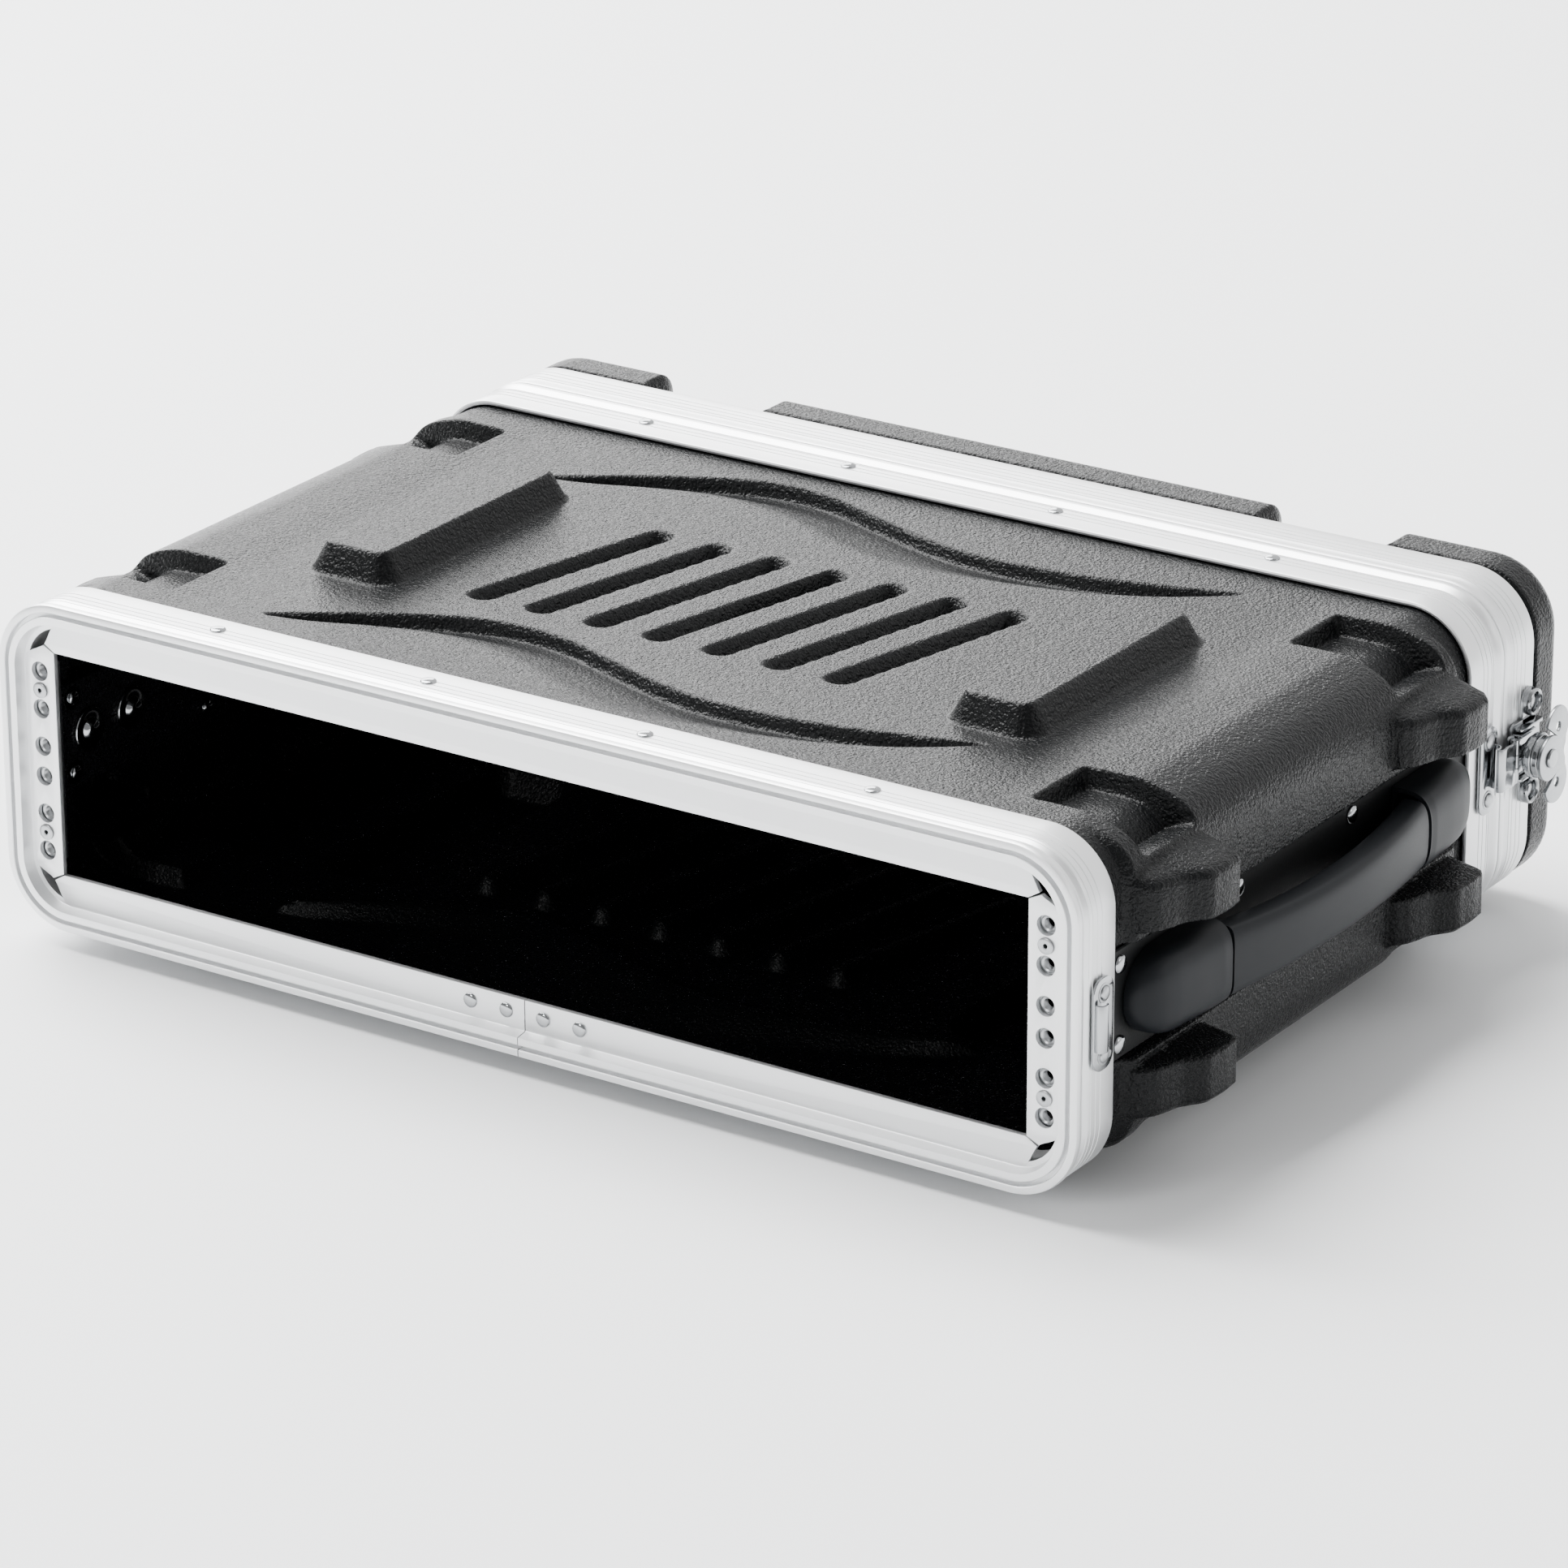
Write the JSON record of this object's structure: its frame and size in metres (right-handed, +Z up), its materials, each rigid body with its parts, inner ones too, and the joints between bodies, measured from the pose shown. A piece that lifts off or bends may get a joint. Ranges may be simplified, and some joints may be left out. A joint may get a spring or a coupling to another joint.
{
  "type": "equipment rack case",
  "caption": "Low road case for rack equipment: grained plastic shells in aluminium frames, front rack flanges, a latched rear cover, side handles and stacking feet.",
  "frame": {"origin": "centre of the footprint, on the surface the feet stand on", "axes": "+Z up, the rack opening faces -Y, the rear cover is at +Y, +X along the width"},
  "size_m": [0.542, 0.371, 0.1538],
  "materials": {
    "formed_shell": "grained",
    "joint_strip": "satin",
    "aluminium": "satin anodised",
    "rail_steel": "zinc plated",
    "bright_steel": "nickel plated",
    "handle_plastic": "smooth satin"
  },
  "bodies": {
    "case": {"front_keeper_left": "bright_steel", "front_keeper_left_rivet_lower": "bright_steel", "front_keeper_left_rivet_upper": "bright_steel", "front_keeper_right": "bright_steel", "front_keeper_right_rivet_lower": "bright_steel", "front_keeper_right_rivet_upper": "bright_steel", "front_splice_plate": "aluminium", "front_valance": "aluminium", "handle_bolt_left_front_1": "bright_steel", "handle_bolt_left_front_2": "bright_steel", "handle_bolt_left_rear_1": "bright_steel", "handle_bolt_left_rear_2": "bright_steel", "handle_bolt_right_front_1": "bright_steel", "handle_bolt_right_front_2": "bright_steel", "handle_bolt_right_rear_1": "bright_steel", "handle_bolt_right_rear_2": "bright_steel", "handle_cap_left_front": "handle_plastic", "handle_cap_left_rear": "handle_plastic", "handle_cap_right_front": "handle_plastic", "handle_cap_right_rear": "handle_plastic", "rack_rail_left": "rail_steel", "rack_rail_left_rivet_lower": "bright_steel", "rack_rail_left_rivet_upper": "bright_steel", "rack_rail_right": "rail_steel", "rack_rail_right_rivet_lower": "bright_steel", "rack_rail_right_rivet_upper": "bright_steel", "rear_keeper_left": "bright_steel", "rear_keeper_left_rivet_lower": "bright_steel", "rear_keeper_left_rivet_upper": "bright_steel", "rear_keeper_right": "bright_steel", "rear_keeper_right_rivet_lower": "bright_steel", "rear_keeper_right_rivet_upper": "bright_steel", "rear_splice_plate": "aluminium", "rear_valance": "aluminium", "shell_bottom": "formed_shell", "shell_top": "formed_shell", "side_strip_left": "joint_strip", "side_strip_right": "joint_strip"},
    "cover": {"cover_valance": "aluminium", "cover_shell": "formed_shell", "latch_base_right": "bright_steel", "latch_rivet_right_upper": "bright_steel", "latch_rivet_right_lower": "bright_steel", "latch_base_left": "bright_steel", "latch_rivet_left_upper": "bright_steel", "latch_rivet_left_lower": "bright_steel"},
    "latch_wing_right": {"latch_wing_right": "bright_steel", "latch_spindle_right": "bright_steel"},
    "latch_slide_right": {"latch_slide_right": "bright_steel"},
    "latch_claw_right": {"latch_claw_right": "bright_steel"},
    "handle_right": {"handle_grip_right": "handle_plastic", "handle_strap_right": "bright_steel"},
    "latch_wing_left": {"latch_wing_left": "bright_steel", "latch_spindle_left": "bright_steel"},
    "latch_slide_left": {"latch_slide_left": "bright_steel"},
    "latch_claw_left": {"latch_claw_left": "bright_steel"},
    "handle_left": {"handle_grip_left": "handle_plastic", "handle_strap_left": "bright_steel"}
  },
  "joints": [
    {"name": "cover_off", "type": "slide", "parent": "case", "child": "cover", "axis": [0, 1, 0], "range_m": [0, 0.012]},
    {"name": "latch_turn_right", "type": "hinge", "parent": "cover", "child": "latch_wing_right", "pos_m": [0.26, 0.147, 0.0769], "axis": [1, 0, 0], "range_deg": [0, 180]},
    {"name": "latch_slide_right", "type": "slide", "parent": "cover", "child": "latch_slide_right", "axis": [0, -1, 0], "range_m": [0, 0.005]},
    {"name": "claw_lift_right", "type": "hinge", "parent": "latch_slide_right", "child": "latch_claw_right", "pos_m": [0.2545, 0.1367, 0.0769], "axis": [0, 0, 1], "range_deg": [0, 30]},
    {"name": "handle_pull_right", "type": "slide", "parent": "case", "child": "handle_right", "axis": [1, 0, 0], "range_m": [0, 0.004], "stiffness_N_per_m": 400},
    {"name": "latch_turn_left", "type": "hinge", "parent": "cover", "child": "latch_wing_left", "pos_m": [-0.26, 0.147, 0.0769], "axis": [-1, 0, 0], "range_deg": [0, 180]},
    {"name": "latch_slide_left", "type": "slide", "parent": "cover", "child": "latch_slide_left", "axis": [0, -1, 0], "range_m": [0, 0.005]},
    {"name": "claw_lift_left", "type": "hinge", "parent": "latch_slide_left", "child": "latch_claw_left", "pos_m": [-0.2545, 0.1367, 0.0769], "axis": [0, 0, -1], "range_deg": [0, 30]},
    {"name": "handle_pull_left", "type": "slide", "parent": "case", "child": "handle_left", "axis": [-1, 0, 0], "range_m": [0, 0.004], "stiffness_N_per_m": 400}
  ],
  "couplings": [
    {"joint": "latch_slide_right", "follows": "latch_turn_right", "m_per_rad": 0.0015915},
    {"joint": "claw_lift_right", "follows": "cover_off", "rad_per_m": 43.63},
    {"joint": "latch_slide_left", "follows": "latch_turn_left", "m_per_rad": 0.0015915},
    {"joint": "claw_lift_left", "follows": "cover_off", "rad_per_m": 43.63}
  ]
}
